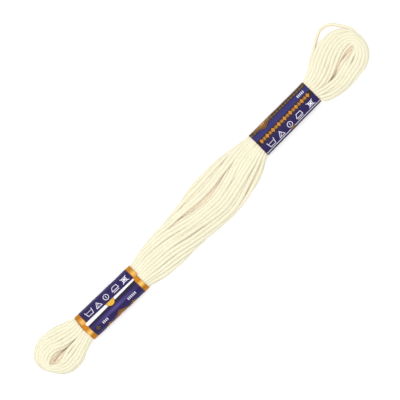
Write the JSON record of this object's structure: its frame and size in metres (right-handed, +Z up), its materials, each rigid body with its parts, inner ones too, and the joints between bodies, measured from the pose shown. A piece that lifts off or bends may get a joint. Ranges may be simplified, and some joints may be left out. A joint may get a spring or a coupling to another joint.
{
  "type": "hank of embroidery floss",
  "caption": "Flat-lying hank of cream stranded cotton embroidery floss, looped at both ends and held by printed paper label bands.",
  "frame": {"origin": "middle of the bounding box's base, on the surface that the hank lies on", "axes": "+X along the hank towards the end that fans out, +Y across it towards the leg with the loose thread, +Z up"},
  "size_m": [0.1536, 0.024, 0.0074],
  "materials": {
    "floss": "soft cream cotton with a slight sheen, six loosely twisted strands",
    "band_paper": "coated paper, satin, printed navy-violet with gold and white"
  },
  "bodies": {
    "root": {"floss_hank": "floss", "band_lower": "band_paper", "band_upper": "band_paper"}
  },
  "joints": []
}
